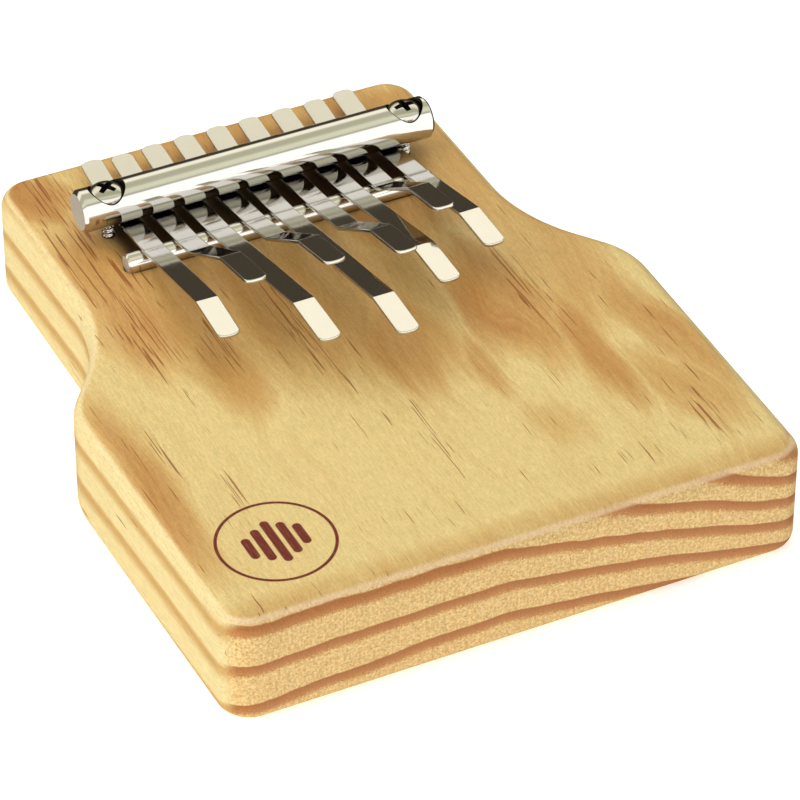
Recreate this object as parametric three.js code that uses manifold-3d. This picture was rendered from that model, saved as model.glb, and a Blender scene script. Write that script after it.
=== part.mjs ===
// Nine-note mbira (thumb piano): a waisted softwood board with nine flat spring-steel tines held down by a
// round clamp bar between a front and a rear bridge rod.
// Millimetres. +X runs along the clamp bar, +Y towards the clamped end, +Z up; the underside lies at z = 0.
import * as THREE from "three";
import { mergeVertices } from "three/addons/utils/BufferGeometryUtils.js";
import Module from "manifold-3d";

const wasm = await Module();
wasm.setup();

const degrees = THREE.MathUtils.degToRad;
const AIR = 0.3; // gap left between pieces that touch on the real instrument

// Board: a straight neck at the clamped end and a wider playing end, joined by two sloping shoulders.
const BOARD_LENGTH = 160.2;
const BOARD_THICKNESS = 26.3;
const NECK_HALF = 50.1;
const PLAYING_HALF = 65;
const PLAYING_FLARE = 0.015; // half width gained per mm from the front edge to the shoulders
const SHOULDER_Y = 8.6;
const SHOULDER_SLOPE = degrees(37); // from the Y direction
const SHOULDER_HOLLOW = 41;
const SHOULDER_ROUND = 20;
const NECK_CORNER = 7.2;
const FRONT_CORNER = 7.4;
const EDGE_ROUND = 3.6;

// Clamp bar and its two countersunk screws.
const BAR_RADIUS = 4.78;
const BAR_LENGTH = 83.5;
const BAR_X = 0.4;
const BAR_Y = 50.7;
const BAR_Z = BOARD_THICKNESS + 8.1;
const BAR_CHAMFER = 0.7;
const SCREW_X = [-34.5, 36.6];
const SCREW_TURN = [38, 4]; // degrees, how each cross recess stands
const SCREW_POCKET_RADIUS = 4.15;
const SCREW_SEAT_Z = BAR_Z + 1.5;
const SCREW_HEAD_RADIUS = 3.75;
const SCREW_RIM_HEIGHT = 1.3;
const SCREW_CROWN = 1.9;
const SCREW_SHANK_RADIUS = 1.45;
const SCREW_DEPTH = 12; // below the board's top face
const CROSS_SPAN = 4;
const CROSS_WIDTH = 0.9;
const CROSS_DEPTH = 1.6;

// Bridge rods, part sunk in round-bottomed grooves.
const FRONT_ROD = { radius: 2.38, length: 72.7, x: 0.25, y: 37.35, z: BOARD_THICKNESS + 1.32 };
const REAR_ROD = { radius: 1.5, length: 67, x: 1.1, y: 60.5, z: BOARD_THICKNESS + 0.2 };
const ROD_CHAMFER = 0.5;
const GROOVE_OVERRUN = 1.2; // length of groove left open past each end of a rod

// Tines: flat strip, its heights measured to the middle of its thickness above the board's top face.
const TINE_WIDTH = 5;
const TINE_THICKNESS = 0.8;
const TINE_TAIL_RISE = 0.14;
const TINE_CLAMPED_HEIGHT = 2.6;
const TINE_REAR_ROD_HEIGHT = 2.4;
const TINE_FRONT_ROD_HEIGHT = 4.45;
const TINE_RISE = 0.21; // slope of the free part in front of the bridge
const END_CROWN = 1.2; // how far the rounded ends stand out past the straight sides
const TIP_DROP = 0.9; // over the bent-down tip of a long tine
const PAD_RISE = 2.6; // over the playing pad of a stepped tine
const TONGUE_GAP = 0.3; // between a tine's clamped part and its vibrating tongue, above the front rod

// Each tine: x under the clamp bar, yaw in degrees, y of its tail end, and how far in front of the front rod
// its bend starts. A long tine then has a bent-down tip; a short one a step up (run and rise) and a pad.
const TINES = [
  { x: -29.9, yaw: -1.2, tail: 72.5, reach: 31.5, tip: 12.4 },
  { x: -22.5, yaw: 0.3, tail: 71.9, reach: 8.5, run: 16.1, rise: 9, pad: 13.6 },
  { x: -15, yaw: 0.6, tail: 72.3, reach: 43.9, tip: 13.3 },
  { x: -6.9, yaw: 1.7, tail: 72.5, reach: 11.9, run: 15.7, rise: 9.3, pad: 13.2 },
  { x: 0.4, yaw: 0, tail: 72.5, reach: 51.2, tip: 12.6 },
  { x: 8.5, yaw: 0.6, tail: 72.5, reach: 16.4, run: 15.7, rise: 9.4, pad: 13.1 },
  { x: 16.8, yaw: 1.2, tail: 72.5, reach: 34.6, tip: 12.8 },
  { x: 24.3, yaw: 0.2, tail: 72.5, reach: 2.9, run: 15.9, rise: 9.8, pad: 12.8 },
  { x: 32.2, yaw: 1.5, tail: 73.1, reach: 25.5, tip: 12.1 },
];

const WOOD = { color: 0xd8b06a, roughness: 0.45, metalness: 0 };
const BAR_METAL = { color: 0xd9d6c8, roughness: 0.12, metalness: 1 };
const ROD_METAL = { color: 0xcfccbf, roughness: 0.16, metalness: 1 };
const SCREW_METAL = { color: 0xc9c8be, roughness: 0.22, metalness: 1 };
const TINE_METAL = { color: 0xd6d2c4, roughness: 0.2, metalness: 1 };

// A closed manifold-3d solid from a three.js geometry.
function solid(geometry) {
  const bare = geometry.clone();
  bare.deleteAttribute("normal");
  bare.deleteAttribute("uv");
  const merged = mergeVertices(bare, 1e-4);
  return new wasm.Manifold(
    new wasm.Mesh({
      numProp: 3,
      vertProperties: merged.attributes.position.array,
      triVerts: new Uint32Array(merged.index.array),
    }),
  );
}

// A flat-shaded three.js geometry from a manifold-3d solid.
function geometryOf(manifold) {
  const mesh = manifold.getMesh();
  const geometry = new THREE.BufferGeometry();
  geometry.setAttribute("position", new THREE.BufferAttribute(mesh.vertProperties, 3));
  geometry.setIndex(new THREE.BufferAttribute(mesh.triVerts, 1));
  const flat = geometry.toNonIndexed();
  flat.computeVertexNormals();
  return flat;
}

function namedMesh(name, geometry, look) {
  const mesh = new THREE.Mesh(geometry, new THREE.MeshStandardMaterial(look));
  mesh.name = name;
  return mesh;
}

// The arc that rounds the corner at `at` between its neighbours `before` and `after`.
function cornerArc(before, at, after, radius) {
  const back = before.clone().sub(at).normalize();
  const ahead = after.clone().sub(at).normalize();
  const half = Math.acos(THREE.MathUtils.clamp(back.dot(ahead), -1, 1)) / 2;
  const reach = radius / Math.tan(half);
  const centre = at.clone().addScaledVector(back.clone().add(ahead).normalize(), radius / Math.sin(half));
  const start = at.clone().addScaledVector(back, reach);
  const end = at.clone().addScaledVector(ahead, reach);
  return {
    centre,
    startAngle: start.sub(centre).angle(),
    endAngle: end.sub(centre).angle(),
    clockwise: back.cross(ahead) > 0,
  };
}

// A closed shape through corners [x, y, radius].
function roundedShape(corners) {
  const shape = new THREE.Shape();
  const points = corners.map(([x, y]) => new THREE.Vector2(x, y));
  points.forEach((at, i) => {
    const before = points[(i + points.length - 1) % points.length];
    const after = points[(i + 1) % points.length];
    const radius = corners[i][2];
    const arc = cornerArc(before, at, after, radius);
    shape.absarc(arc.centre.x, arc.centre.y, radius, arc.startAngle, arc.endAngle, arc.clockwise);
  });
  return shape;
}

function boardShape() {
  const neckRun = Math.tan(SHOULDER_SLOPE);
  const front = -BOARD_LENGTH / 2;
  const back = BOARD_LENGTH / 2;
  // The shoulder line crosses SHOULDER_Y midway between the neck's side and the playing end's side.
  const sideAt = (y) => PLAYING_HALF + PLAYING_FLARE * (y - front);
  const middle = (NECK_HALF + sideAt(SHOULDER_Y)) / 2;
  const neckY = SHOULDER_Y + (middle - NECK_HALF) / neckRun;
  const wideY = SHOULDER_Y - (sideAt(SHOULDER_Y) - middle) / (neckRun + PLAYING_FLARE);
  return roundedShape([
    [-PLAYING_HALF, front, FRONT_CORNER],
    [PLAYING_HALF, front, FRONT_CORNER],
    [sideAt(wideY), wideY, SHOULDER_ROUND],
    [NECK_HALF, neckY, SHOULDER_HOLLOW],
    [NECK_HALF, back, NECK_CORNER],
    [-NECK_HALF, back, NECK_CORNER],
    [-NECK_HALF, neckY, SHOULDER_HOLLOW],
    [-sideAt(wideY), wideY, SHOULDER_ROUND],
  ]);
}

// A rod along X with chamfered ends, centred on the origin.
function rodGeometry(radius, length, chamfer, sides = 48) {
  const half = length / 2;
  const profile = [
    [0, -half],
    [radius - chamfer, -half],
    [radius, -half + chamfer],
    [radius, half - chamfer],
    [radius - chamfer, half],
    [0, half],
  ];
  const points = profile.map(([r, h]) => new THREE.Vector2(r, h));
  return new THREE.LatheGeometry(points, sides).rotateZ(-Math.PI / 2);
}

function uprightCylinder(radius, low, high, sides = 32) {
  const cylinder = new THREE.CylinderGeometry(radius, radius, high - low, sides);
  return cylinder.rotateX(Math.PI / 2).translate(0, 0, (low + high) / 2);
}

// The round-bottomed groove for a rod, with quarter-ball ends.
function groove(rod) {
  const radius = rod.radius + AIR;
  const straight = rod.length + 2 * GROOVE_OVERRUN - 2 * radius;
  const cutter = new THREE.CapsuleGeometry(radius, straight, 8, 40);
  return solid(cutter.rotateZ(Math.PI / 2).translate(rod.x, rod.y, rod.z));
}

function boardGeometry() {
  const block = new THREE.ExtrudeGeometry(boardShape(), {
    depth: BOARD_THICKNESS - 2 * EDGE_ROUND,
    bevelThickness: EDGE_ROUND,
    bevelSize: EDGE_ROUND,
    bevelOffset: -EDGE_ROUND,
    bevelSegments: 5,
    curveSegments: 6,
  });
  let board = solid(block.translate(0, 0, EDGE_ROUND));
  board = board.subtract(groove(FRONT_ROD));
  board = board.subtract(groove(REAR_ROD));
  for (const x of SCREW_X) {
    const low = BOARD_THICKNESS - SCREW_DEPTH - 1;
    const pilot = uprightCylinder(SCREW_SHANK_RADIUS + AIR, low, BOARD_THICKNESS + 1, 24);
    board = board.subtract(solid(pilot.translate(x, BAR_Y, 0)));
  }
  return geometryOf(board);
}

function clampBarGeometry() {
  const rod = rodGeometry(BAR_RADIUS, BAR_LENGTH, BAR_CHAMFER, 56);
  let bar = solid(rod.translate(BAR_X, BAR_Y, BAR_Z));
  for (const x of SCREW_X) {
    const pocket = uprightCylinder(SCREW_POCKET_RADIUS, SCREW_SEAT_Z - AIR, BAR_Z + BAR_RADIUS + 1, 40);
    const hole = uprightCylinder(SCREW_SHANK_RADIUS + AIR, BAR_Z - BAR_RADIUS - 1, SCREW_SEAT_Z, 24);
    bar = bar.subtract(solid(pocket.translate(x, BAR_Y, 0)));
    bar = bar.subtract(solid(hole.translate(x, BAR_Y, 0)));
  }
  return geometryOf(bar);
}

// Pan-head cross-recess wood screw, its seat at z = 0 and its point down.
function screwGeometry() {
  const tip = BOARD_THICKNESS - SCREW_DEPTH - SCREW_SEAT_Z;
  const top = SCREW_RIM_HEIGHT + SCREW_CROWN;
  const crown = [0, 15, 30, 45, 60, 75].map((angle) => {
    const radius = SCREW_HEAD_RADIUS * Math.cos(degrees(angle)) ** 0.8;
    return new THREE.Vector2(radius, SCREW_RIM_HEIGHT + SCREW_CROWN * Math.sin(degrees(angle)));
  });
  const profile = [
    new THREE.Vector2(0, tip),
    new THREE.Vector2(0.25, tip + 0.3),
    new THREE.Vector2(SCREW_SHANK_RADIUS, tip + 3),
    new THREE.Vector2(SCREW_SHANK_RADIUS, 0),
    new THREE.Vector2(SCREW_HEAD_RADIUS, 0),
    ...crown,
    new THREE.Vector2(0, top),
  ];
  let screw = solid(new THREE.LatheGeometry(profile, 32).rotateX(Math.PI / 2));
  for (const turn of [0, Math.PI / 2]) {
    const slot = new THREE.BoxGeometry(CROSS_SPAN, CROSS_WIDTH, 2 * CROSS_DEPTH);
    screw = screw.subtract(solid(slot.rotateZ(turn).translate(0, 0, top)));
  }
  return geometryOf(screw);
}

// Points along a path through corners [y, height, radius], its inner corners rounded, with their headings.
function roundedPath(corners) {
  const points = corners.map(([y, z]) => new THREE.Vector2(y, z));
  const path = [];
  points.forEach((at, i) => {
    if (i === 0 || i === points.length - 1) {
      const heading = i === 0 ? points[1].clone().sub(at) : at.clone().sub(points[i - 1]);
      path.push({ at, heading: heading.normalize() });
      return;
    }
    const radius = corners[i][2];
    const arc = cornerArc(points[i - 1], at, points[i + 1], radius);
    let sweep = arc.endAngle - arc.startAngle;
    sweep = Math.atan2(Math.sin(sweep), Math.cos(sweep));
    const steps = Math.max(2, Math.ceil(Math.abs(sweep) / degrees(6)));
    for (let k = 0; k <= steps; k += 1) {
      const angle = arc.startAngle + (sweep * k) / steps;
      const out = new THREE.Vector2(Math.cos(angle), Math.sin(angle));
      const heading = new THREE.Vector2(-out.y, out.x).multiplyScalar(Math.sign(sweep));
      path.push({ at: out.multiplyScalar(radius).add(arc.centre), heading });
    }
  });
  return path;
}

// The tine's side view in its own frame: y from the clamp bar, height above the board. Both ends run 1 mm
// past the finished length, to be trimmed by the rounded outline.
function tineSide({ tail, reach, tip, run, rise, pad }) {
  const rodY = FRONT_ROD.y - BAR_Y;
  const rearY = REAR_ROD.y - BAR_Y;
  const tailY = tail + 1 - BAR_Y;
  const bendY = rodY - reach;
  const bendHeight = TINE_FRONT_ROD_HEIGHT + TINE_RISE * reach;
  const corners = [
    [tailY, TINE_REAR_ROD_HEIGHT + TINE_TAIL_RISE * (tailY - rearY)],
    [rearY, TINE_REAR_ROD_HEIGHT, 20],
    [0, TINE_CLAMPED_HEIGHT, 25],
    [rodY, TINE_FRONT_ROD_HEIGHT, 30],
    [bendY, bendHeight, 1.4],
  ];
  if (tip) {
    corners.push([bendY - tip - 1, bendHeight - TIP_DROP * (1 + 1 / tip)]);
  } else {
    corners.push([bendY - run, bendHeight + rise, 1.4]);
    corners.push([bendY - run - pad - 1, bendHeight + rise + PAD_RISE * (1 + 1 / pad)]);
  }
  return corners;
}

// The strip of the whole tine: its side view thickened and swept across the width.
function tineStrip(tine) {
  const path = roundedPath(tineSide(tine));
  const offset = (side) =>
    path.map(({ at, heading }) => {
      const normal = new THREE.Vector2(-heading.y, heading.x);
      return at.clone().addScaledVector(normal, (side * TINE_THICKNESS) / 2);
    });
  const outline = new THREE.Shape([...offset(1), ...offset(-1).reverse()]);
  const strip = new THREE.ExtrudeGeometry(outline, { depth: TINE_WIDTH, bevelEnabled: false });
  const sideToWorld = new THREE.Matrix4().makeBasis(
    new THREE.Vector3(0, 1, 0),
    new THREE.Vector3(0, 0, 1),
    new THREE.Vector3(1, 0, 0),
  );
  return solid(strip.applyMatrix4(sideToWorld).translate(-TINE_WIDTH / 2, 0, 0));
}

// Upright prism over one part of a tine: square at `square`, with a crowned end at `crowned`.
function tinePrism(square, crowned) {
  const half = TINE_WIDTH / 2;
  const radius = (half * half + END_CROWN * END_CROWN) / (2 * END_CROWN);
  const outward = Math.sign(crowned - square);
  const centre = crowned - outward * radius;
  const reach = Math.asin(half / radius);
  const middle = (outward * Math.PI) / 2;
  const shape = new THREE.Shape();
  shape.moveTo(-outward * half, square);
  shape.lineTo(outward * half, square);
  shape.absarc(0, centre, radius, middle - reach, middle + reach, false);
  const prism = new THREE.ExtrudeGeometry(shape, { depth: 60, bevelEnabled: false, curveSegments: 8 });
  return solid(prism.translate(0, 0, -20));
}

// The two solids of one tine in a group turned by its yaw: the clamped part and the tongue.
function tineGroup(tine, number) {
  const rodY = FRONT_ROD.y - BAR_Y;
  const tipY = rodY - tine.reach - (tine.tip || tine.run + tine.pad);
  const strip = tineStrip(tine);
  const clamped = strip.intersect(tinePrism(rodY + TONGUE_GAP / 2, tine.tail - BAR_Y));
  const tongue = strip.intersect(tinePrism(rodY - TONGUE_GAP / 2, tipY));
  const group = new THREE.Group();
  group.add(namedMesh(`tine_${number}_clamped_part`, geometryOf(clamped), TINE_METAL));
  group.add(namedMesh(`tine_${number}_tongue`, geometryOf(tongue), TINE_METAL));
  group.position.set(tine.x, BAR_Y, BOARD_THICKNESS);
  group.rotation.z = degrees(tine.yaw);
  return group;
}

function bridgeRod(name, rod) {
  const mesh = namedMesh(name, rodGeometry(rod.radius, rod.length, ROD_CHAMFER), ROD_METAL);
  mesh.position.set(rod.x, rod.y, rod.z);
  return mesh;
}

const mbira = new THREE.Group();
mbira.name = "mbira";
mbira.add(namedMesh("soundboard", boardGeometry(), WOOD));
mbira.add(namedMesh("clamp_bar", clampBarGeometry(), BAR_METAL));
mbira.add(bridgeRod("front_bridge_rod", FRONT_ROD));
mbira.add(bridgeRod("rear_bridge_rod", REAR_ROD));
["left", "right"].forEach((side, i) => {
  const screw = namedMesh(`clamp_screw_${side}`, screwGeometry(), SCREW_METAL);
  screw.position.set(SCREW_X[i], BAR_Y, SCREW_SEAT_Z);
  screw.rotation.z = degrees(SCREW_TURN[i]);
  mbira.add(screw);
});
TINES.forEach((tine, i) => mbira.add(tineGroup(tine, i + 1)));

export default mbira;
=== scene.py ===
"""Nine-note mbira: visual pieces, materials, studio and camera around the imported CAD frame.

Lengths are millimetres in the frame's axes (+X along the clamp bar, +Y towards the clamped end, +Z up, the
underside at 0) until they reach a mesh, where they become metres.
"""
import math

import bpy
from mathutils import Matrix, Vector


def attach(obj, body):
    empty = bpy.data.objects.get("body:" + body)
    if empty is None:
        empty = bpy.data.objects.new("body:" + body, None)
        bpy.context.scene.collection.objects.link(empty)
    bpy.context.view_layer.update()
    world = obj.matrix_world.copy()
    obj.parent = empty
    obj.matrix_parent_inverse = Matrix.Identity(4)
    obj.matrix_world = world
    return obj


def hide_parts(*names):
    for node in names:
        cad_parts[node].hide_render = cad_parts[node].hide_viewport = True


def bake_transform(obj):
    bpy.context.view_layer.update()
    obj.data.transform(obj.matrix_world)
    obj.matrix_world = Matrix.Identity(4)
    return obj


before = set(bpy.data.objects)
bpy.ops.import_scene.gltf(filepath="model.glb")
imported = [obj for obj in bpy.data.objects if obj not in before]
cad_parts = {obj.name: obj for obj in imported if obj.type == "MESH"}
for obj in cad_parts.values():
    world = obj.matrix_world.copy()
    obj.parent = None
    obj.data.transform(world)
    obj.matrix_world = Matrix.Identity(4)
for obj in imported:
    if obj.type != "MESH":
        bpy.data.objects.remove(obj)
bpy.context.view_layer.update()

MM = 0.001
BODY = "instrument"

# Board
BOARD_LENGTH = 160.2
BOARD_THICKNESS = 26.3
NECK_HALF = 50.1
PLAYING_HALF = 65.0
PLAYING_FLARE = 0.015
SHOULDER_Y = 8.6
SHOULDER_SLOPE = math.radians(37)
SHOULDER_HOLLOW = 41.0
SHOULDER_ROUND = 20.0
NECK_CORNER = 7.2
FRONT_CORNER = 7.4
TOP_EDGE_ROUND = 3.9
BOTTOM_EDGE_ROUND = 3.0

# Clamp bar and screws
BAR_RADIUS = 4.78
BAR_LENGTH = 83.5
BAR_CHAMFER = 0.75
BAR_X = 0.4
BAR_Y = 50.7
BAR_Z = BOARD_THICKNESS + 8.1
SCREWS = {"left": (-34.5, 38), "right": (36.6, 4)}  # x, turn of the cross recess in degrees
POCKET_RADIUS = 4.15
BAR_HOLE_RADIUS = 1.65
SEAT_Z = BAR_Z + 1.5
HEAD_RADIUS = 3.92
HEAD_RIM = 1.3
HEAD_CROWN = 1.9
CROWN_POWER = 0.8  # under 1 makes the dome fuller than an ellipse
THREAD_RADIUS = 1.43
THREAD_DEPTH = 0.42
THREAD_PITCH = 1.15
THREAD_TOP_Z = SEAT_Z - 0.6
POINT_RADIUS = 0.5
POINT_LENGTH = 3.5
SCREW_TIP_Z = BOARD_THICKNESS - 12.0
# Cross recess: height from the top of the dome, half span and half width of its arms, from the bottom up
CROSS_RECESS = ((-2.0, 1.1, 0.34), (-1.2, 1.95, 0.5), (0.4, 2.45, 0.62))
PILOT_RADIUS = 1.5

# Bridge rods: radius, length, x, y, height of the axis above the board
FRONT_ROD = (2.38, 72.7, 0.25, 37.35, 1.32)
REAR_ROD = (1.5, 67.0, 1.1, 60.5, 0.2)
ROD_CHAMFER = 0.5
GROOVE_AIR = 0.12
GROOVE_END = 1.0  # how far a groove runs past each end of its rod

# Tines
TINE_HALF = 2.5
TINE_THICKNESS = 0.8
TINE_EDGE = 0.2
TINE_FLAT_MARGIN = 0.1
TINE_END = 1.7
TAIL_RISE = 0.14
CLAMPED_HEIGHT = 2.6
REAR_ROD_HEIGHT = 2.4
FRONT_ROD_HEIGHT = 4.45
TONGUE_RISE = 0.21
BRIDGE_BEND = 2.35  # how far in front of the front rod the strip turns up
TIP_DROP = 0.9
# Radii of the bends over the rear rod, under the bar, in front of the front rod, and at the tip or the step
REAR_BEND_RADIUS = 20
BAR_BEND_RADIUS = 25
BRIDGE_BEND_RADIUS = 6
CREASE_RADIUS = 1.3
PAD_RISE = 2.6

# x under the clamp bar, yaw in degrees, y of the tail, distance from the front rod to the first bend, then
# either the bent-down tip's length or the step's run and rise and the pad's length.
TINES = [
    (-29.9, -1.2, 72.5, 31.5, 12.4),
    (-22.5, 0.3, 71.9, 8.5, (16.1, 9.0, 13.6)),
    (-15.0, 0.6, 72.3, 43.9, 13.3),
    (-6.9, 1.7, 72.5, 11.9, (15.7, 9.3, 13.2)),
    (0.4, 0.0, 72.5, 51.2, 12.6),
    (8.5, 0.6, 72.5, 16.4, (15.7, 9.4, 13.1)),
    (16.8, 1.2, 72.5, 34.6, 12.8),
    (24.3, 0.2, 72.5, 2.9, (15.9, 9.8, 12.8)),
    (32.2, 1.5, 73.1, 25.5, 12.1),
]

# Burned mark on the playing face: a ring around five upright bars, like a row of keys
MARK_X, MARK_Y = -45.4, -59.4
MARK_RADIUS = 12.1
MARK_LINE = 0.34
MARK_BARS = [(-5.6, 2.4), (-2.8, 4.2), (0.0, 5.8), (2.8, 4.2), (5.6, 2.4)]  # x, half length
MARK_BAR_HALF = 0.95


# ---------------------------------------------------------------- mesh building

def mesh_object(name, vertices, faces, flat_faces=()):
    """A mesh object from millimetre vertices, smooth shaded but for the faces listed in flat_faces."""
    mesh = bpy.data.meshes.new(name)
    mesh.from_pydata([(x * MM, y * MM, z * MM) for x, y, z in vertices], [], faces)
    for polygon in mesh.polygons:
        polygon.use_smooth = polygon.index not in flat_faces
    mesh.validate()
    piece = bpy.data.objects.new(name, mesh)
    bpy.context.scene.collection.objects.link(piece)
    return piece


def crisp(piece, degrees=35):
    """Keeps every edge sharper than this crisp while the rest shades smoothly."""
    piece.data.set_sharp_from_angle(angle=math.radians(degrees))
    return piece


def cut(piece, cutters):
    """Takes the cutters out of a piece and deletes them."""
    for cutter in cutters:
        modifier = piece.modifiers.new("cut", "BOOLEAN")
        modifier.operation = "DIFFERENCE"
        modifier.solver = "EXACT"
        modifier.object = cutter
    evaluated = piece.evaluated_get(bpy.context.evaluated_depsgraph_get())
    piece.data = bpy.data.meshes.new_from_object(evaluated)
    piece.modifiers.clear()
    for cutter in cutters:
        bpy.data.objects.remove(cutter)
    return piece


def ring_stack(name, rings, flat_ends=False):
    """A closed mesh through rings of equal point counts; a one-point ring closes an end to a point."""
    vertices, faces, starts = [], [], []
    for ring in rings:
        starts.append(len(vertices))
        vertices.extend(ring)
    for low, high in zip(range(len(rings)), range(1, len(rings))):
        a, b = starts[low], starts[high]
        count = max(len(rings[low]), len(rings[high]))
        for i in range(count):
            j = (i + 1) % count
            if len(rings[low]) == 1:
                faces.append((a, b + j, b + i))
            elif len(rings[high]) == 1:
                faces.append((a + i, a + j, b))
            else:
                faces.append((a + i, a + j, b + j, b + i))
    flat = []
    if len(rings[0]) > 1:
        flat.append(len(faces))
        faces.append(tuple(reversed(range(starts[0], starts[0] + len(rings[0])))))
    if len(rings[-1]) > 1:
        flat.append(len(faces))
        faces.append(tuple(range(starts[-1], starts[-1] + len(rings[-1]))))
    return mesh_object(name, vertices, faces, set(flat) if flat_ends else ())


def lathe(name, profile, centre, along="x", sides=96, turn=None):
    """Revolves (radius, height) points about an axis through centre.

    turn(angle, height) can vary the radius.
    """
    cx, cy, cz = centre
    rings = []
    for radius, height in profile:
        ring = []
        for i in range(1 if radius == 0 else sides):
            angle = 2 * math.pi * i / sides
            r = radius + (turn(angle, height) if turn and radius else 0)
            u, v = r * math.cos(angle), r * math.sin(angle)
            ring.append((cx + height, cy + u, cz + v) if along == "x" else (cx + u, cy + v, cz + height))
        rings.append(ring)
    return ring_stack(name, rings)


def rounded_outline(corners, degrees_per_step=3):
    """(x, y, outward x, outward y) round a closed outline of [x, y, radius] corners, counter-clockwise."""
    outline = []
    for i, (x, y, radius) in enumerate(corners):
        at = Vector((x, y))
        back = (Vector(corners[i - 1][:2]) - at).normalized()
        ahead = (Vector(corners[(i + 1) % len(corners)][:2]) - at).normalized()
        half = back.angle(ahead) / 2
        centre = at + (back + ahead).normalized() * radius / math.sin(half)
        start = at + back * radius / math.tan(half) - centre
        sweep = math.pi - 2 * half
        convex = back.x * ahead.y - back.y * ahead.x < 0
        side = 1 if convex else -1
        steps = max(4, math.ceil(math.degrees(sweep) / degrees_per_step))
        for k in range(steps + 1):
            turn = side * sweep * k / steps
            c, s = math.cos(turn), math.sin(turn)
            arm = Vector((start.x * c - start.y * s, start.x * s + start.y * c))
            out = side * arm.normalized()
            outline.append((centre.x + arm.x, centre.y + arm.y, out.x, out.y))
    return outline


def quarter(steps):
    """(sine, cosine) pairs over a quarter turn."""
    return [(math.sin(math.pi / 2 * k / steps), math.cos(math.pi / 2 * k / steps)) for k in range(steps + 1)]


# ---------------------------------------------------------------- pieces

def board_outline():
    """The waisted outline: a straight neck, sloping shoulders and a slightly flared playing end."""
    front, back = -BOARD_LENGTH / 2, BOARD_LENGTH / 2
    run = math.tan(SHOULDER_SLOPE)

    def side(y):
        return PLAYING_HALF + PLAYING_FLARE * (y - front)

    middle = (NECK_HALF + side(SHOULDER_Y)) / 2
    neck_y = SHOULDER_Y + (middle - NECK_HALF) / run
    wide_y = SHOULDER_Y - (side(SHOULDER_Y) - middle) / (run + PLAYING_FLARE)
    half = [
        (PLAYING_HALF, front, FRONT_CORNER),
        (side(wide_y), wide_y, SHOULDER_ROUND),
        (NECK_HALF, neck_y, SHOULDER_HOLLOW),
        (NECK_HALF, back, NECK_CORNER),
    ]
    mirrored = [(-x, y, radius) for x, y, radius in reversed(half)]
    return rounded_outline(half + mirrored)


def groove_cutter(rod):
    """A ball-ended cutter along a rod, a little larger than it."""
    radius, length, x, y, height = rod
    ball = radius + GROOVE_AIR
    half = length / 2 + GROOVE_END - ball
    profile = [(ball * s, -half - ball * c) for s, c in quarter(10)]
    profile += [(r, -h) for r, h in reversed(profile)]
    profile[0] = (0, -half - ball)
    profile[-1] = (0, half + ball)
    return lathe("groove_cutter", profile, (x, y, BOARD_THICKNESS + height), sides=80)


def build_board():
    """The board with soft edges, the rods' grooves and the screws' pilot holes."""
    outline = board_outline()

    def ring(inset, z):
        return [(x - nx * inset, y - ny * inset, z) for x, y, nx, ny in outline]

    rings = [ring(BOTTOM_EDGE_ROUND * (1 - s), BOTTOM_EDGE_ROUND * (1 - c)) for s, c in quarter(8)]
    rings += [ring(TOP_EDGE_ROUND * (1 - c), BOARD_THICKNESS - TOP_EDGE_ROUND * (1 - s))
              for s, c in quarter(10)]
    board = ring_stack("board", rings, flat_ends=True)
    cutters = [groove_cutter(FRONT_ROD), groove_cutter(REAR_ROD)]
    for x, _ in SCREWS.values():
        bottom, top = SCREW_TIP_Z - 0.6, BOARD_THICKNESS + 1
        profile = [(0, bottom), (PILOT_RADIUS, bottom), (PILOT_RADIUS, top), (0, top)]
        cutters.append(lathe("pilot_cutter", profile, (x, BAR_Y, 0), along="z", sides=40))
    return crisp(cut(board, cutters))


def rod_profile(radius, length, chamfer):
    """Half profile of a rod with chamfered, slightly eased ends."""
    half = length / 2
    ease = chamfer * 0.12
    end = [
        (radius - chamfer - ease, half),
        (radius - chamfer + ease * 0.5, half - ease * 0.3),
        (radius - ease * 0.5, half - chamfer + ease * 0.6),
        (radius, half - chamfer - ease),
    ]
    return [(0, -half)] + [(r, -h) for r, h in end] + list(reversed(end)) + [(0, half)]


def build_bar():
    """The clamp bar with a bored pocket and a hole for each screw."""
    bar = lathe("bar", rod_profile(BAR_RADIUS, BAR_LENGTH, BAR_CHAMFER), (BAR_X, BAR_Y, BAR_Z), sides=192)
    cutters = []
    for x, _ in SCREWS.values():
        bottom, top = SEAT_Z - 0.05, BAR_Z + 8
        pocket = [(0, bottom), (POCKET_RADIUS, bottom), (POCKET_RADIUS, top), (0, top)]
        hole = [(0, BAR_Z - 8), (BAR_HOLE_RADIUS, BAR_Z - 8), (BAR_HOLE_RADIUS, SEAT_Z + 1), (0, SEAT_Z + 1)]
        cutters.append(lathe("pocket_cutter", pocket, (x, BAR_Y, 0), along="z", sides=96))
        cutters.append(lathe("hole_cutter", hole, (x, BAR_Y, 0), along="z", sides=48))
    return crisp(cut(bar, cutters), 30)


def build_rod(name, rod):
    """A bridge rod lying on the board."""
    radius, length, x, y, height = rod
    profile = rod_profile(radius, length, ROD_CHAMFER)
    return crisp(lathe(name, profile, (x, y, BOARD_THICKNESS + height), sides=128), 30)


def cross_cutter(x, turn):
    """Tapered cross that leaves a cross recess in a screw head."""
    top = SEAT_Z + HEAD_RIM + HEAD_CROWN
    rings = []
    for height, span, width in CROSS_RECESS:
        ring = []
        for quarter_turn in range(4):
            base = math.radians(turn + 90 * quarter_turn)
            for along, across in ((span, -width), (span, width), (width * 1.25, width * 1.25)):
                dx = along * math.cos(base) - across * math.sin(base)
                dy = along * math.sin(base) + across * math.cos(base)
                ring.append((x + dx, BAR_Y + dy, top + height))
        rings.append(ring)
    return ring_stack("cross_cutter", rings)


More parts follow.
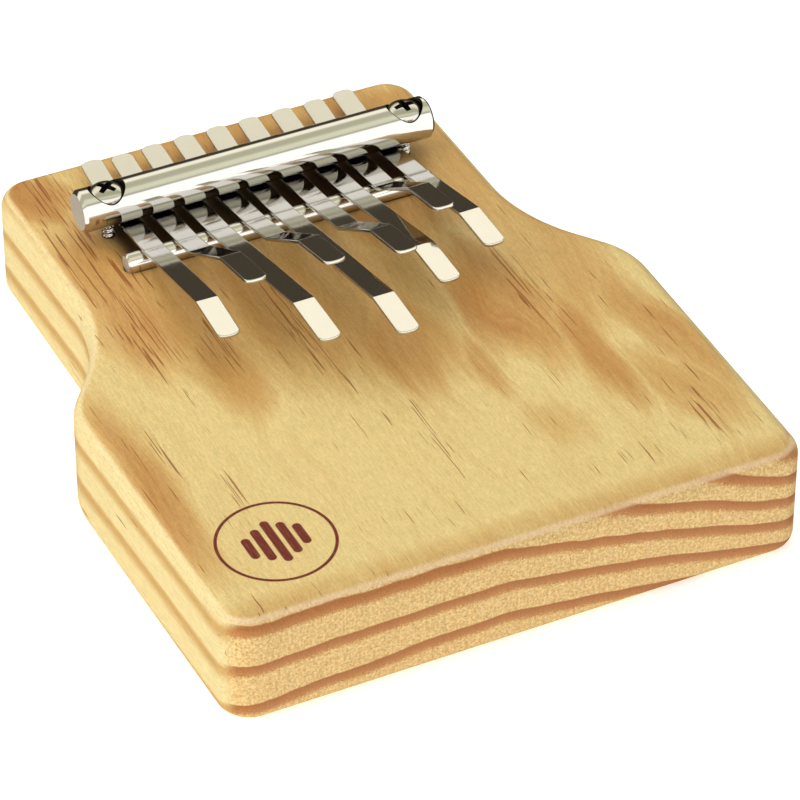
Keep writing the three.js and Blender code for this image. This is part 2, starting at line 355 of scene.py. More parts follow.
def build_screw(side):
    """Pan-head cross-recess screw with a cut helical thread."""
    x, turn = SCREWS[side]
    top = SEAT_Z + HEAD_RIM + HEAD_CROWN
    crown = []
    for k in range(1, 24):
        angle = math.radians(90 * k / 24)
        rise = HEAD_CROWN * math.sin(angle)
        crown.append((HEAD_RADIUS * math.cos(angle) ** CROWN_POWER, SEAT_Z + HEAD_RIM + rise))
    head = [(0, SEAT_Z - 1.2), (1.0, SEAT_Z - 1.2), (1.0, SEAT_Z), (HEAD_RADIUS - 0.15, SEAT_Z)]
    head += [(HEAD_RADIUS, SEAT_Z + 0.15), (HEAD_RADIUS, SEAT_Z + HEAD_RIM)] + crown + [(0, top)]
    screw = lathe(f"screw_{side}", head, (x, BAR_Y, 0), along="z", sides=96)
    screw = cut(screw, [cross_cutter(x, turn)])

    def thread(angle, height):
        phase = (height / THREAD_PITCH - angle / (2 * math.pi)) % 1
        return -THREAD_DEPTH * (1 - max(0.0, 1 - abs(phase - 0.5) * 3.2))

    length = THREAD_TOP_Z - SCREW_TIP_Z
    steps = 190
    shank = [(0, SCREW_TIP_Z)]
    for k in range(1, steps + 1):
        height = SCREW_TIP_Z + length * k / steps
        taper = min(1.0, (height - SCREW_TIP_Z) / POINT_LENGTH)
        shank.append((POINT_RADIUS + (THREAD_RADIUS - POINT_RADIUS) * taper, height))
    shank.append((0, THREAD_TOP_Z))
    threads = lathe("thread", shank, (x, BAR_Y, 0), along="z", sides=40, turn=thread)
    screw.data = joined(screw, threads)
    return crisp(screw, 40)


def joined(first, second):
    """One mesh holding both objects' meshes; the second object is deleted."""
    vertices, faces = [], []
    for piece in (first, second):
        start = len(vertices)
        vertices.extend(tuple(v.co) for v in piece.data.vertices)
        faces.extend(tuple(start + i for i in p.vertices) for p in piece.data.polygons)
    mesh = bpy.data.meshes.new(first.name)
    mesh.from_pydata(vertices, [], faces)
    for polygon in mesh.polygons:
        polygon.use_smooth = True
    bpy.data.objects.remove(second)
    return mesh


def tine_corners(tail, reach, end):
    """(y from the clamp bar, height above the board, bend radius) of a tine's side view, tail first."""
    rear_y, rod_y, tail_y = REAR_ROD[3] - BAR_Y, FRONT_ROD[3] - BAR_Y, tail - BAR_Y
    bend_y, bend = rod_y - reach, FRONT_ROD_HEIGHT + TONGUE_RISE * reach
    turn = min(BRIDGE_BEND, 0.35 * reach)
    turn_height = FRONT_ROD_HEIGHT + turn * (FRONT_ROD_HEIGHT - CLAMPED_HEIGHT) / -rod_y
    corners = [
        (tail_y, REAR_ROD_HEIGHT + TAIL_RISE * (tail_y - rear_y), 0),
        (rear_y, REAR_ROD_HEIGHT, REAR_BEND_RADIUS),
        (0, CLAMPED_HEIGHT, BAR_BEND_RADIUS),
        (rod_y - turn, turn_height, BRIDGE_BEND_RADIUS),
        (bend_y, bend, CREASE_RADIUS),
    ]
    if isinstance(end, tuple):
        run, rise, pad = end
        corners.append((bend_y - run, bend + rise, CREASE_RADIUS))
        corners.append((bend_y - run - pad, bend + rise + PAD_RISE, 0))
    else:
        corners.append((bend_y - end, bend - TIP_DROP, 0))
    return corners


def rounded_path(corners):
    """Points of a polyline with its inner corners rounded."""
    path = [Vector(corners[0][:2])]
    for before, (y, z, radius), after in zip(corners, corners[1:], corners[2:]):
        at = Vector((y, z))
        back = (Vector(before[:2]) - at).normalized()
        ahead = (Vector(after[:2]) - at).normalized()
        half = back.angle(ahead) / 2
        centre = at + (back + ahead).normalized() * radius / math.sin(half)
        start = at + back * radius / math.tan(half) - centre
        side = 1 if back.x * ahead.y - back.y * ahead.x < 0 else -1
        sweep = side * (math.pi - 2 * half)
        for k in range(9):
            c, s = math.cos(sweep * k / 8), math.sin(sweep * k / 8)
            path.append(centre + Vector((start.x * c - start.y * s, start.x * s + start.y * c)))
    path.append(Vector(corners[-1][:2]))
    return path


class Strip:
    """Maps (distance along a tine, height off its middle) to its side view."""

    def __init__(self, path):
        self.path = path
        self.at = [0.0]
        for a, b in zip(path, path[1:]):
            self.at.append(self.at[-1] + (b - a).length)
        self.length = self.at[-1]

    def point(self, distance, height):
        distance = min(max(distance, 0.0), self.length)
        i = 0
        while i < len(self.path) - 2 and self.at[i + 1] < distance:
            i += 1
        a, b = self.path[i], self.path[i + 1]
        share = (distance - self.at[i]) / (self.at[i + 1] - self.at[i])
        heading = self.heading(i).lerp(self.heading(i + 1), share).normalized()
        return a.lerp(b, share) + Vector((heading.y, -heading.x)) * height

    def heading(self, i):
        before = self.path[max(i - 1, 0)]
        after = self.path[min(i + 1, len(self.path) - 1)]
        return (after - before).normalized()


def half_width(distance, length):
    """Half the tine's width, falling in a soft curve to nothing at both ends."""
    reach = min(distance, length - distance, TINE_END) / TINE_END
    return TINE_HALF * (1 - (1 - reach) ** 2.5) ** (1 / 2.5)


def tine_stations(strip):
    """Distances along a tine at which its outline has points."""
    ends = [TINE_END * (1 - math.cos(math.pi / 2 * k / 10)) for k in range(1, 11)]
    stations = set(ends) | {strip.length - e for e in ends}
    inside = [d for d in strip.at if TINE_END < d < strip.length - TINE_END]
    previous = TINE_END
    for distance in sorted(inside) + [strip.length - TINE_END]:
        pieces = max(1, round((distance - previous) / 2.5))
        stations |= {previous + (distance - previous) * k / pieces for k in range(1, pieces + 1)}
        previous = distance
    ordered = sorted(stations)
    return [d for d, after in zip(ordered, ordered[1:] + [strip.length]) if after - d > 0.02]


def build_tine(number, x, yaw, tail, reach, end):
    """One spring-steel strip with eased edges and rounded ends."""
    strip = Strip(rounded_path(tine_corners(tail, reach, end)))
    stations = tine_stations(strip)
    right = []
    for d in stations:
        step = 0.02
        slope = (half_width(d + step, strip.length) - half_width(d - step, strip.length)) / (2 * step)
        size = math.hypot(1, slope)
        right.append((half_width(d, strip.length), d, 1 / size, -slope / size))
    outline = [(0, 0, 0, -1)] + right + [(0, strip.length, 0, 1)]
    outline += [(-px, d, -nx, nd) for px, d, nx, nd in reversed(right)]
    c, s = math.cos(math.radians(yaw)), math.sin(math.radians(yaw))

    def ring(inset, height):
        points = []
        for px, d, nx, nd in outline:
            across = px - nx * inset
            y, z = strip.point(d - nd * inset, height)
            points.append((x + across * c - y * s, BAR_Y + across * s + y * c, BOARD_THICKNESS + z))
        return points

    half = TINE_THICKNESS / 2
    layers = [(TINE_EDGE + TINE_FLAT_MARGIN, -half)]
    layers += [(TINE_EDGE * (1 - si), -half + TINE_EDGE * (1 - co)) for si, co in quarter(4)]
    layers += [(inset, -height) for inset, height in reversed(layers)]
    vertices, faces = [], []
    count = len(outline)
    for inset, height in layers:
        vertices.extend(ring(inset, height))
    for k in range(len(layers) - 1):
        for i in range(count):
            j = (i + 1) % count
            faces.append((k * count + i, (k + 1) * count + i, (k + 1) * count + j, k * count + j))
    top = (len(layers) - 1) * count
    for i in range(count // 2):
        mirror = (count - i) % count
        next_mirror = (count - i - 1) % count
        cap = [i, i + 1, next_mirror] if i == 0 else [i, i + 1, next_mirror, mirror]
        cap = list(dict.fromkeys(cap))
        faces.append(tuple(cap))
        faces.append(tuple(top + v for v in reversed(cap)))
    tine = mesh_object(f"tine_{number}", vertices, faces)
    hinge = Vector((x - (FRONT_ROD[3] - BAR_Y) * s, BAR_Y + (FRONT_ROD[3] - BAR_Y) * c, 0))
    return crisp(tine, 40), hinge, Vector((s, -c, 0))


# ---------------------------------------------------------------- materials

class Graph:
    """Short calls that add and join shader nodes."""

    def __init__(self, tree):
        self.tree = tree
        tree.nodes.clear()

    def add(self, kind, **settings):
        node = self.tree.nodes.new(kind)
        for key, value in settings.items():
            setattr(node, key, value)
        return node

    def put(self, socket, value):
        if isinstance(value, bpy.types.NodeSocket):
            self.tree.links.new(value, socket)
        else:
            socket.default_value = value

    def math(self, operation, *values, clamp=False):
        node = self.add("ShaderNodeMath", operation=operation, use_clamp=clamp)
        for socket, value in zip(node.inputs, values):
            self.put(socket, value)
        return node.outputs[0]

    def vector(self, x, y, z):
        node = self.add("ShaderNodeCombineXYZ")
        for socket, value in zip(node.inputs, (x, y, z)):
            self.put(socket, value)
        return node.outputs[0]

    def stretched_noise(self, *axes, detail=2.0):
        """Noise over (coordinate, cycles per millimetre) pairs, one for each axis."""
        scaled = [self.math("MULTIPLY", coordinate, cycles) for coordinate, cycles in axes]
        scaled += [0.0] * (3 - len(scaled))
        node = self.add("ShaderNodeTexNoise")
        self.put(node.inputs["Vector"], self.vector(*scaled))
        node.inputs["Scale"].default_value = 1.0
        node.inputs["Detail"].default_value = detail
        return node.outputs["Fac"]

    def scaled(self, colour, factor):
        node = self.add("ShaderNodeVectorMath", operation="SCALE")
        self.put(node.inputs[0], colour)
        self.put(node.inputs["Scale"], factor)
        return node.outputs[0]

    def total(self, first, second):
        node = self.add("ShaderNodeVectorMath", operation="ADD")
        self.put(node.inputs[0], first)
        self.put(node.inputs[1], second)
        return node.outputs[0]

    def between(self, value, low, high):
        """0 at low, 1 at high, smooth between."""
        node = self.add("ShaderNodeMapRange", interpolation_type="SMOOTHSTEP")
        self.put(node.inputs["Value"], value)
        node.inputs["From Min"].default_value = low
        node.inputs["From Max"].default_value = high
        return node.outputs["Result"]

    def ramp(self, value, stops):
        node = self.add("ShaderNodeValToRGB")
        elements = node.color_ramp.elements
        while len(elements) < len(stops):
            elements.new(0.5)
        for element, (position, colour) in zip(elements, stops):
            element.position = position
            element.color = colour
        self.put(node.inputs["Fac"], value)
        return node.outputs["Color"]

    def mix(self, share, first, second):
        node = self.add("ShaderNodeMix", data_type="RGBA")
        node.clamp_factor = True
        self.put(node.inputs["Factor"], share)
        self.put(node.inputs["A"], first)
        self.put(node.inputs["B"], second)
        return node.outputs["Result"]

    def place(self):
        """x, y and z in millimetres in the piece's own space."""
        coordinates = self.add("ShaderNodeTexCoord").outputs["Object"]
        scaled = self.add("ShaderNodeVectorMath", operation="SCALE")
        self.put(scaled.inputs[0], coordinates)
        scaled.inputs["Scale"].default_value = 1000
        split = self.add("ShaderNodeSeparateXYZ")
        self.put(split.inputs[0], scaled.outputs[0])
        return split.outputs

    def normal(self):
        split = self.add("ShaderNodeSeparateXYZ")
        self.put(split.inputs[0], self.add("ShaderNodeNewGeometry").outputs["Normal"])
        return split.outputs

    def bump(self, height, distance):
        node = self.add("ShaderNodeBump")
        node.inputs["Strength"].default_value = 1.0
        node.inputs["Distance"].default_value = distance * MM
        self.put(node.inputs["Height"], height)
        return node.outputs["Normal"]

    def surface(self, colour, roughness, metallic=0.0, normal=None, **constants):
        shader = self.add("ShaderNodeBsdfPrincipled")
        self.put(shader.inputs["Base Color"], colour)
        self.put(shader.inputs["Roughness"], roughness)
        shader.inputs["Metallic"].default_value = metallic
        if normal is not None:
            self.put(shader.inputs["Normal"], normal)
        for key, value in constants.items():
            shader.inputs[key.replace("_", " ")].default_value = value
        output = self.add("ShaderNodeOutputMaterial")
        self.put(output.inputs["Surface"], shader.outputs[0])


def rgb(red, green, blue):
    """A linear colour from 0-255 display values."""
    def linear(value):
        value /= 255
        return value / 12.92 if value <= 0.04045 else ((value + 0.055) / 1.055) ** 2.4
    return (linear(red), linear(green), linear(blue), 1.0)


# Soft brown areas of the playing face: x, y, half width, half length, strength
BROWN_AREAS = [
    (-8, 10, 32, 34, 0.42),
    (8, -10, 10, 20, 0.52),
    (-10, -6, 6, 16, 0.5),
    (-31, -6, 6, 18, 0.5),
    (-28, 26, 22, 28, 0.42),
    (31, -8, 8, 26, 0.7),
    (41, -30, 7, 24, 0.6),
    (52, -52, 6, 18, 0.5),
    (19, -26, 4, 14, 0.4),
    (24, -50, 7, 8, 0.22),
    (22, 38, 22, 22, 0.55),
    (57, -30, 5, 34, 0.5),
    (49, 4, 14, 34, 0.36),
    (43, 44, 10, 34, 0.42),
    (-60, -34, 6, 34, 0.65),
    (-42, 30, 11, 34, 0.62),
    (-44, 70, 12, 12, 0.7),
    (38, 70, 16, 12, 0.6),
    (0, 72, 34, 16, 0.62),
]
# Zones where dark resin dashes are dense: x, y, half width, half length
DASH_ZONES = [
    (-40, 68, 7, 12),
    (-42, 34, 8, 40),
    (-29, 4, 3, 14),
    (-2, -46, 2.5, 22),
    (-12, 0, 4, 22),
    (38, -8, 4, 26),
    (52, -60, 3, 14),
    (-61, -30, 2.5, 20),
    (-54, -26, 2, 12),
    (-46, -40, 2, 10),
]


# Painted shade on the wood under the clamp, between the tines: y where it starts and is full, from the front
# and from the back, and the same sideways from the middle of the tines
PAINTED_SHADE_FRONT = (33.5, 38.0)
PAINTED_SHADE_BACK = (61.0, 57.0)
PAINTED_SHADE_SIDE = (39.0, 33.0)


def area(g, x, y, cx, cy, half_x, half_y):
    """1 at the centre of a soft ellipse, 0 outside it."""
    dx = g.math("DIVIDE", g.math("SUBTRACT", x, cx), half_x)
    dy = g.math("DIVIDE", g.math("SUBTRACT", y, cy), half_y)
    squared = g.math("ADD", g.math("MULTIPLY", dx, dx), g.math("MULTIPLY", dy, dy))
    return g.between(squared, 1.5, 0.0)


def growth_rings(g, x, y, z):
    """Millimetres below the ring line above.

    A year's dark late wood starts at its line and fades downwards.
    """
    wander = g.stretched_noise((x, 0.028), (y, 0.008), (z, 0.02))
    ripple = g.stretched_noise((x, 0.13), (y, 0.02), (z, 0.08), detail=2)
    right = g.math("SMOOTH_MAX", g.math("ADD", x, 5), 0.0, 14.0)
    first = g.math("ADD", 1.5, g.math("MULTIPLY", right, 0.17))
    first = g.math("ADD", first, g.math("MULTIPLY", g.math("MULTIPLY", right, right), 0.0011))
    first = g.math("ADD", first, g.math("MULTIPLY", g.math("ADD", y, 80.0), 0.04))
    first = g.math("ADD", first, g.math("MULTIPLY", g.math("SUBTRACT", wander, 0.5), 2.6))
    first = g.math("ADD", first, g.math("MULTIPLY", g.math("SUBTRACT", ripple, 0.5), 1.1))
    spacing = g.math("SUBTRACT", 7.9, g.math("MULTIPLY", x, 0.033))
    depth = g.math("SUBTRACT", BOARD_THICKNESS, z)
    years = g.math("DIVIDE", g.math("SUBTRACT", depth, first), spacing)
    return g.math("MULTIPLY", g.math("FRACT", years), spacing)


def burned_mark(g, x, y):
    """1 on the lines of the burned mark."""
    dx, dy = g.math("SUBTRACT", x, MARK_X), g.math("SUBTRACT", y, MARK_Y)
    radius = g.math("SQRT", g.math("ADD", g.math("MULTIPLY", dx, dx), g.math("MULTIPLY", dy, dy)))
    away = g.math("ABSOLUTE", g.math("SUBTRACT", radius, MARK_RADIUS))
    mark = g.between(away, MARK_LINE + 0.08, MARK_LINE - 0.08)
    for bar_x, half in MARK_BARS:
        across = g.math("ABSOLUTE", g.math("SUBTRACT", dx, bar_x))
        along = g.math("MAXIMUM", g.math("SUBTRACT", g.math("ABSOLUTE", dy), half), 0.0)
        squared = g.math("ADD", g.math("MULTIPLY", across, across), g.math("MULTIPLY", along, along))
        off = g.math("SQRT", squared)
        mark = g.math("MAXIMUM", mark, g.between(off, MARK_BAR_HALF + 0.1, MARK_BAR_HALF - 0.1))
    return mark


def end_grain(g, x, y, z, below, speck):
    """Colour of the sawn ends: bands with a crisp upper edge, vertical rays and dark pores."""
    ragged = g.math("ADD", below, g.math("MULTIPLY", g.math("SUBTRACT", speck, 0.5), 2.2))
    late = g.math("MULTIPLY", g.between(below, 0.0, 0.3), g.between(ragged, 3.4, 2.1))
    rays = g.stretched_noise((x, 2.8), (y, 2.8), (z, 0.16), detail=3)
    mottle = g.stretched_noise((x, 1.6), (y, 1.6), (z, 1.6), detail=3)
    base = g.mix(g.between(mottle, 0.3, 0.7), rgb(224, 178, 108), rgb(252, 220, 152))
    band = g.mix(g.between(below, 0.2, 2.6), rgb(176, 102, 46), rgb(202, 134, 70))
    colour = g.mix(g.math("MULTIPLY", late, 0.94), base, band)
    pores = g.stretched_noise((x, 2.3), (y, 2.3), (z, 2.3), detail=0)
    colour = g.mix(g.math("MULTIPLY", g.between(pores, 0.7, 0.76), 0.4), colour, rgb(132, 78, 38))
    return g.scaled(colour, g.math("ADD", 0.84, g.math("MULTIPLY", rays, 0.32)))


def side_grain(g, below):
    """Colour of the long sides: pale, with soft tan stripes."""
    stripe = g.math("MULTIPLY", g.between(below, 0.0, 1.6), g.between(below, 5.6, 2.2))
    return g.mix(stripe, rgb(246, 223, 160), rgb(219, 176, 106))


def face_grain(g, x, y):
    """Colour of the playing face: golden, with soft brown flames that run along the board."""
    sway = g.math("SUBTRACT", g.stretched_noise((x, 0.06), (y, 0.02), detail=2), 0.5)
    feather = g.math("SUBTRACT", g.stretched_noise((x, 0.2), (y, 0.02), detail=4), 0.5)
    bent_x = g.math("ADD", x, g.math("MULTIPLY", sway, 18.0))
    bent_y = g.math("ADD", y, g.math("MULTIPLY", feather, 24.0))
    brown = 0.0
    for cx, cy, half_x, half_y, strength in BROWN_AREAS:
        here = g.math("MULTIPLY", area(g, bent_x, bent_y, cx, cy, half_x, half_y), strength)
        brown = g.math("MAXIMUM", brown, here)
    streaks = g.math("SUBTRACT", g.stretched_noise((bent_x, 0.9), (y, 0.016), detail=4), 0.5)
    drift = g.math("SUBTRACT", g.stretched_noise((bent_x, 0.07), (y, 0.018), detail=3), 0.5)
    brown = g.math("ADD", brown, g.math("MULTIPLY", streaks, 0.42))
    brown = g.math("ADD", brown, g.math("MULTIPLY", drift, 0.7))
    front_edge = g.between(g.math("ADD", y, g.math("MULTIPLY", drift, 10.0)), -71.0, -77.0)
    brown = g.math("ADD", brown, g.math("MULTIPLY", front_edge, 0.3))
    return g.ramp(brown, [
        (0.0, rgb(240, 212, 140)), (0.22, rgb(230, 193, 120)), (0.48, rgb(216, 168, 96)),
        (0.74, rgb(202, 144, 74)), (1.0, rgb(176, 110, 46)),
    ])


def resin_dashes(g, x, y, z):
    """1 on the thin dark resin lines along the grain."""
    canal = g.stretched_noise((x, 0.95), (y, 0.016), (z, 0.5), detail=1)
    line = g.between(g.math("ABSOLUTE", g.math("SUBTRACT", canal, 0.5)), 0.055, 0.02)
    zone = 0.0
    for cx, cy, half_x, half_y in DASH_ZONES:
        zone = g.math("MAXIMUM", zone, area(g, x, y, cx, cy, half_x, half_y))
    filled = g.stretched_noise((x, 1.6), (y, 0.07), (z, 0.8), detail=1)
    filled = g.math("ADD", filled, g.math("MULTIPLY", zone, 0.2))
    return g.math("MULTIPLY", line, g.between(filled, 0.66, 0.73))


def pine():
    """Varnished softwood: rings on the sides and ends, soft brown figure and resin dashes on the face;
    painted highlight on the top edges, painted shade under the clamp and in the grooves.
    """
    material = bpy.data.materials.new("pine")
    material.use_nodes = True
    g = Graph(material.node_tree)
    x, y, z = g.place()
    _, ny, nz = g.normal()
    fibre = g.stretched_noise((x, 3.6), (y, 0.3), (z, 3.0), detail=4)
    speck = g.stretched_noise((x, 2.6), (y, 1.6), (z, 2.6), detail=2)
    on_end = g.between(g.math("ABSOLUTE", ny), 0.35, 0.75)
    on_face = g.between(nz, 0.78, 0.93)

    below = growth_rings(g, x, y, z)
    colour = g.mix(on_end, side_grain(g, below), end_grain(g, x, y, z, below, speck))
    # Painted highlight along the rounded top edges: cream at the sides, pinker along the front.
    edge_highlight = g.mix(g.between(g.math("MULTIPLY", ny, -1.0), 0.2, 0.4), rgb(248, 224, 166), rgb(250, 214, 168))
    colour = g.mix(g.math("MULTIPLY", g.between(nz, 0.58, 0.74), 0.72), colour, edge_highlight)
    colour = g.mix(on_face, colour, face_grain(g, x, y))

    off_end = g.math("SUBTRACT", 1.0, g.math("MULTIPLY", on_end, 0.9))
    dashes = g.math("MULTIPLY", resin_dashes(g, x, y, z), off_end)
    colour = g.mix(g.math("MULTIPLY", dashes, 0.78), colour, rgb(146, 70, 20))
    tone = g.math("ADD", g.math("MULTIPLY", fibre, 0.6), g.math("MULTIPLY", speck, 0.4))
    colour = g.scaled(colour, g.math("ADD", 0.58, g.math("MULTIPLY", tone, 0.84)))

    # Painted shade under the clamp bar and between the tines: the wood goes nearly black there.
    painted_shade = g.math("MULTIPLY", g.between(y, *PAINTED_SHADE_FRONT), g.between(y, *PAINTED_SHADE_BACK))
    off_centre = g.math("ABSOLUTE", g.math("SUBTRACT", x, 1.0))
    painted_shade = g.math("MULTIPLY", painted_shade, g.between(off_centre, *PAINTED_SHADE_SIDE))
    colour = g.mix(g.math("MULTIPLY", painted_shade, 0.94), colour, rgb(38, 10, 4))
    # Painted shade in the rods' grooves: the wood below the surface beside each rod turns dark red-brown.
    for _, length, rod_x, rod_y, _ in (FRONT_ROD, REAR_ROD):
        inside = g.between(g.math("ABSOLUTE", g.math("SUBTRACT", x, rod_x)), length / 2 + 2, length / 2 + 1.5)
        beside = g.between(g.math("ABSOLUTE", g.math("SUBTRACT", y, rod_y)), 3.0, 2.6)
        groove_shade = g.math("MULTIPLY", g.between(z, BOARD_THICKNESS - 0.1, BOARD_THICKNESS - 0.5), inside)
        groove_shade = g.math("MULTIPLY", groove_shade, beside)
        colour = g.mix(g.math("MULTIPLY", groove_shade, 0.85), colour, rgb(72, 26, 10))

    mark = g.math("MULTIPLY", burned_mark(g, x, y), g.between(nz, 0.9, 0.98))
    char = g.math("ADD", 1.0, g.math("MULTIPLY", g.math("SUBTRACT", fibre, 0.5), 0.5), clamp=True)
    colour = g.mix(g.math("MULTIPLY", mark, char), colour, rgb(112, 14, 0))

    rough = g.math("ADD", 0.38, g.math("MULTIPLY", g.math("SUBTRACT", speck, 0.5), 0.2))
    relief = g.math("SUBTRACT", g.math("MULTIPLY", fibre, 0.5), g.math("MULTIPLY", mark, 2.0))
    relief = g.math("SUBTRACT", relief, dashes)
    g.surface(colour, rough, normal=g.bump(relief, 0.04), Coat_Weight=0.05, Coat_Roughness=0.2,
              Specular_IOR_Level=0.2)
    return material


def metal(name, tint, roughness, across=1.0, along=0.1, matt=None):
    """Polished plated metal with faint polishing lines; matt(g, y) adds roughness where it is left matt."""
    material = bpy.data.materials.new(name)
    material.use_nodes = True
    g = Graph(material.node_tree)
    x, y, z = g.place()
    lines = g.stretched_noise((x, along), (y, across), (z, across), detail=3)
    cloud = g.stretched_noise((x, 0.3), (y, 0.3), (z, 0.3), detail=3)
    grit = g.stretched_noise((x, 6.0), (y, 6.0), (z, 6.0), detail=2)
    dull = tuple(0.92 * channel for channel in tint[:3]) + (1.0,)
    colour = g.mix(g.math("ADD", g.math("MULTIPLY", cloud, 0.6), g.math("MULTIPLY", lines, 0.4)), tint, dull)
    rough = g.math("ADD", roughness, g.math("MULTIPLY", g.math("SUBTRACT", cloud, 0.5), roughness * 0.7))
    if matt:
        rough = g.math("ADD", rough, matt(g, y))
    relief = g.math("ADD", lines, g.math("MULTIPLY", grit, 0.25))
    g.surface(colour, rough, 1.0, g.bump(relief, 0.006))
    return material


# y between which the tines turn matt behind the bar
TAIL_MATT = (55.0, 60.0)


def tail_mattness(g, y):
    """The tails behind the bar are left matt."""
    return g.math("MULTIPLY", g.between(y, *TAIL_MATT), 0.16)


def unpolished(name, light, dark, roughness, metallic):
    """Machined metal that was never polished: sawn ends, bored pockets, the cross recess. The pockets' and
    the recess's dark colours are painted shade.
    """
    material = bpy.data.materials.new(name)
    material.use_nodes = True
    g = Graph(material.node_tree)
    x, y, z = g.place()
    grit = g.stretched_noise((x, 4.0), (y, 4.0), (z, 4.0), detail=4)
    rough = g.math("ADD", roughness, g.math("MULTIPLY", grit, 0.2))
    g.surface(g.mix(grit, light, dark), rough, metallic, g.bump(grit, 0.02))
    return material


def paint(piece, *materials):
    """Fills the piece's material slots in order."""
    for material in materials:
        piece.data.materials.append(material)


def paint_faces(piece, slot, chosen):
    """Gives the faces for which chosen(centre in millimetres, normal) holds the material in this slot."""
    for polygon in piece.data.polygons:
        if chosen(polygon.center / MM, polygon.normal):
            polygon.material_index = slot


def flat_end(centre, normal):
    return abs(normal.x) > 0.98 and abs(abs(centre.x - BAR_X) - BAR_LENGTH / 2) < 0.1


def rod_end(centre, normal):
    return abs(normal.x) > 0.98


def in_pocket(centre, normal):
    """Walls and floor of the two bored pockets in the clamp bar."""
    for x, _ in SCREWS.values():
        if math.hypot(centre.x - x, centre.y - BAR_Y) < POCKET_RADIUS + 0.03 and centre.z > SEAT_Z - 0.3:
            return True
    return False


def crown_height(distance):
    """Height of the screw head's dome above its seat at a distance from the axis."""
    share = min(1.0, (distance / HEAD_RADIUS) ** (1 / CROWN_POWER))
    return HEAD_RIM + HEAD_CROWN * math.sin(math.acos(share))


def in_recess(centre, normal):
    """Walls and floor of the cross recess."""
    nearest = min(math.hypot(centre.x - x, centre.y - BAR_Y) for x, _ in SCREWS.values())
    height = centre.z - SEAT_Z
    return nearest < 2.5 and 0.9 < height < crown_height(nearest) - 0.07


# ---------------------------------------------------------------- studio

# Soft lamps: place and size in metres, power in watts
LAMPS = {
    "overhead": ((-0.3, 0.2, 1.5), 3.0, 38.0),
    "left": ((-1.5, -0.1, 0.65), 1.0, 8.0),
    "front": ((0.5, -1.5, 0.7), 1.0, 2.9),
}

# What polished metal sees: a dim warm room with light boxes that run along X. Each box has its middle and
# half width in degrees from overhead towards the playing end, the softness of its edges, brightness and tint
ROOM = (62, 56, 46)
LIGHT_BOXES = {
    "strip behind": (-50, 15, 7, 0.9, (255, 250, 228)),
    "ceiling": (0, 34, 5, 0.4, (255, 255, 220)),
    "scrim": (16, 14, 10, 0.25, (255, 255, 235)),
    "front window": (98, 60, 6, 1.1, (255, 254, 248)),
}
NICKEL = 0.58  # share of light that polished nickel is taken to return
PAPER = (240, 240, 238)
FLOOR_HALF = 4000
BACKDROP_RADIUS = 4500
BACKDROP_TOP = 6000

# Camera of the reference view
CAMERA_PLACE = (-327.3, -692.8, 600.4)
CAMERA_TARGET = (11.45, 1.15, 0)
CAMERA_LENS = 204.25


def light_studio():
    """Bands of light along X for the metal to reflect, and soft lamps for everything else."""
    world = bpy.data.worlds.new("studio")
    bpy.context.scene.world = world
    world.use_nodes = True
    world.cycles_visibility.diffuse = False
    g = Graph(world.node_tree)
    split = g.add("ShaderNodeSeparateXYZ")
    g.put(split.inputs[0], g.add("ShaderNodeTexCoord").outputs["Generated"])
    _, y, z = split.outputs
    angle = g.math("DEGREES", g.math("ARCTAN2", g.math("MULTIPLY", y, -1.0), z))
    colour = rgb(*ROOM)[:3]
    for middle, half, soft, brightness, tint in LIGHT_BOXES.values():
        rise = g.between(angle, middle - half - soft, middle - half + soft)
        fall = g.between(angle, middle + half + soft, middle + half - soft)
        full = tuple(channel * brightness for channel in rgb(*tint)[:3])
        colour = g.total(colour, g.scaled(full, g.math("MULTIPLY", rise, fall)))
    background = g.add("ShaderNodeBackground")
    g.put(background.inputs["Color"], colour)
    background.inputs["Strength"].default_value = 1 / NICKEL
    output = g.add("ShaderNodeOutputWorld")
    g.put(output.inputs["Surface"], background.outputs[0])

    for name, (place, size, power) in LAMPS.items():
        soft_lamp(name, place, size, power)


def soft_lamp(name, place, size, power):
    """A square lamp aimed at the instrument that polished metal does not reflect."""
    light = bpy.data.lights.new(name, "AREA")
    light.size = size
    light.energy = power
    lamp = bpy.data.objects.new(name, light)
    lamp.location = place
    lamp.rotation_euler = (-Vector(place)).to_track_quat("-Z", "Y").to_euler()
    lamp.visible_glossy = False
    lamp.visible_camera = False
    bpy.context.scene.collection.objects.link(lamp)


def lay_floor():
    """A pale floor, lit evenly; polished metal reflects the studio past it."""
    corners = [(FLOOR_HALF * x, FLOOR_HALF * y, -0.05) for x, y in ((-1, -1), (1, -1), (1, 1), (-1, 1))]
    floor = mesh_object("floor", corners, [(0, 1, 2, 3)])
    material = bpy.data.materials.new("floor")
    material.use_nodes = True
    g = Graph(material.node_tree)
    g.surface(rgb(*PAPER), 0.9, Emission_Color=(1, 1, 1, 1), Emission_Strength=0.55)
    paint(floor, material)
    floor.visible_glossy = False


def hang_backdrop():
    """A white wall all round that only a low camera sees.

    It neither lights the object nor shows in its metal.
    """
    sides = 64
    vertices, faces = [], []
    for i in range(sides):
        angle = 2 * math.pi * i / sides
        for z in (-100, BACKDROP_TOP):
            vertices.append((BACKDROP_RADIUS * math.cos(angle), BACKDROP_RADIUS * math.sin(angle), z))
        j = (i + 1) % sides
        faces.append((2 * i, 2 * i + 1, 2 * j + 1, 2 * j))
    backdrop = mesh_object("backdrop", vertices, faces)
    material = bpy.data.materials.new("backdrop")
    material.use_nodes = True
    g = Graph(material.node_tree)
    g.surface(rgb(*PAPER), 0.9, Emission_Color=(1, 1, 1, 1), Emission_Strength=0.9)
    paint(backdrop, material)
    backdrop.visible_diffuse = False
    backdrop.visible_glossy = False
    backdrop.visible_shadow = False


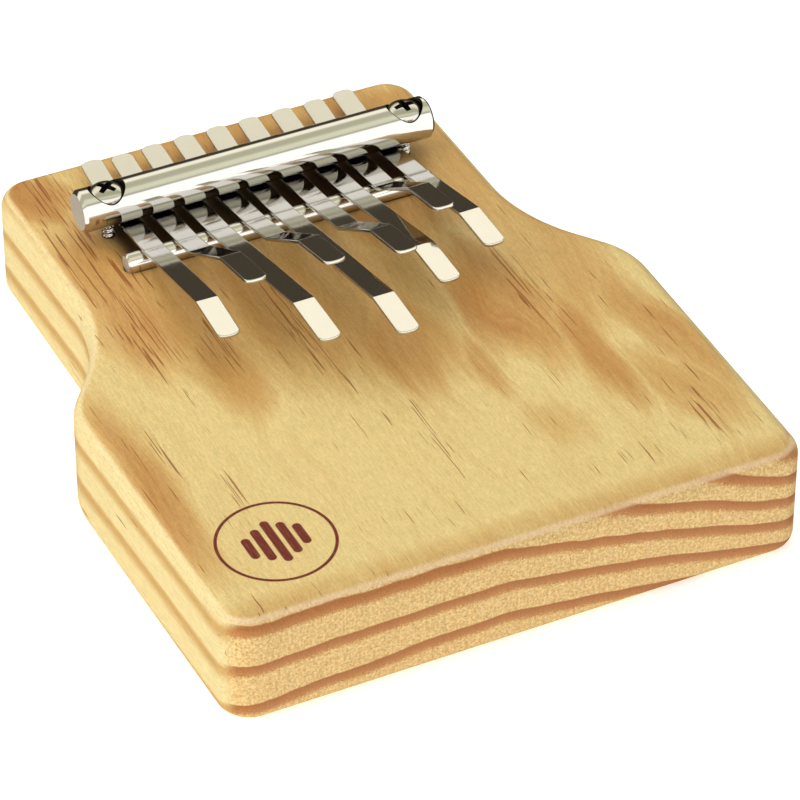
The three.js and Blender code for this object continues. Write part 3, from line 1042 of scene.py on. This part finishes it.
def place_camera():
    """The camera of the reference view: a long lens, above and to the left of the playing end."""
    camera = bpy.data.objects.new("camera", bpy.data.cameras.new("camera"))
    bpy.context.scene.collection.objects.link(camera)
    camera.location = Vector(CAMERA_PLACE) * MM
    target = Vector(CAMERA_TARGET) * MM
    camera.rotation_euler = (target - camera.location).to_track_quat("-Z", "Y").to_euler()
    camera.data.sensor_width = 36
    camera.data.lens = CAMERA_LENS
    camera.data.clip_end = 20
    bpy.context.scene.camera = camera


# ---------------------------------------------------------------- assembly

def fix(piece, slot, *nodes):
    """A piece that is fixed to the instrument and stands for these CAD nodes."""
    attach(piece, BODY)
    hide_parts(*nodes)


def main():
    bar_metal = metal("bar_nickel", (0.575, 0.567, 0.552, 1), 0.07, across=2.0, along=0.05)
    rod_metal = metal("rod_nickel", (0.6, 0.58, 0.55, 1), 0.1, across=2.0, along=0.05)
    screw_metal = metal("screw_nickel", (0.5, 0.49, 0.46, 1), 0.14)
    tine_metal = metal("tine_steel", (0.61, 0.594, 0.572, 1), 0.07,
                       across=0.15, along=2.0, matt=tail_mattness)
    end_metal = unpolished("sawn_end", rgb(224, 219, 208), rgb(172, 166, 155), 0.4, 0.5)
    # The pockets' walls are rough, and dark as painted shade inside them.
    pocket_shade_metal = unpolished("pocket_painted_shade", rgb(96, 90, 80), rgb(52, 48, 42), 0.35, 1.0)
    # The cross recess is painted nearly black as shade inside it.
    recess_shade_metal = unpolished("recess_painted_shade", rgb(60, 54, 48), rgb(20, 18, 16), 0.4, 1.0)

    board = build_board()
    paint(board, pine())
    fix(board, "pine", "soundboard")

    bar = build_bar()
    paint(bar, bar_metal, end_metal, pocket_shade_metal)
    paint_faces(bar, 1, flat_end)
    paint_faces(bar, 2, in_pocket)
    fix(bar, "bar_nickel", "clamp_bar")

    for name, rod in (("front", FRONT_ROD), ("rear", REAR_ROD)):
        piece = build_rod(f"{name}_rod", rod)
        paint(piece, rod_metal, end_metal)
        paint_faces(piece, 1, rod_end)
        fix(piece, "rod_nickel", f"{name}_bridge_rod")

    for side in SCREWS:
        screw = build_screw(side)
        paint(screw, screw_metal, recess_shade_metal)
        paint_faces(screw, 1, in_recess)
        fix(screw, "screw_nickel", f"clamp_screw_{side}")

    for number, design in enumerate(TINES, 1):
        tine, hinge, forward = build_tine(number, *design)
        paint(tine, tine_metal)
        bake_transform(tine)
        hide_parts(f"tine_{number}_clamped_part", f"tine_{number}_tongue")

    light_studio()
    lay_floor()
    hang_backdrop()
    place_camera()
    bpy.context.scene.view_settings.view_transform = "Standard"


main()
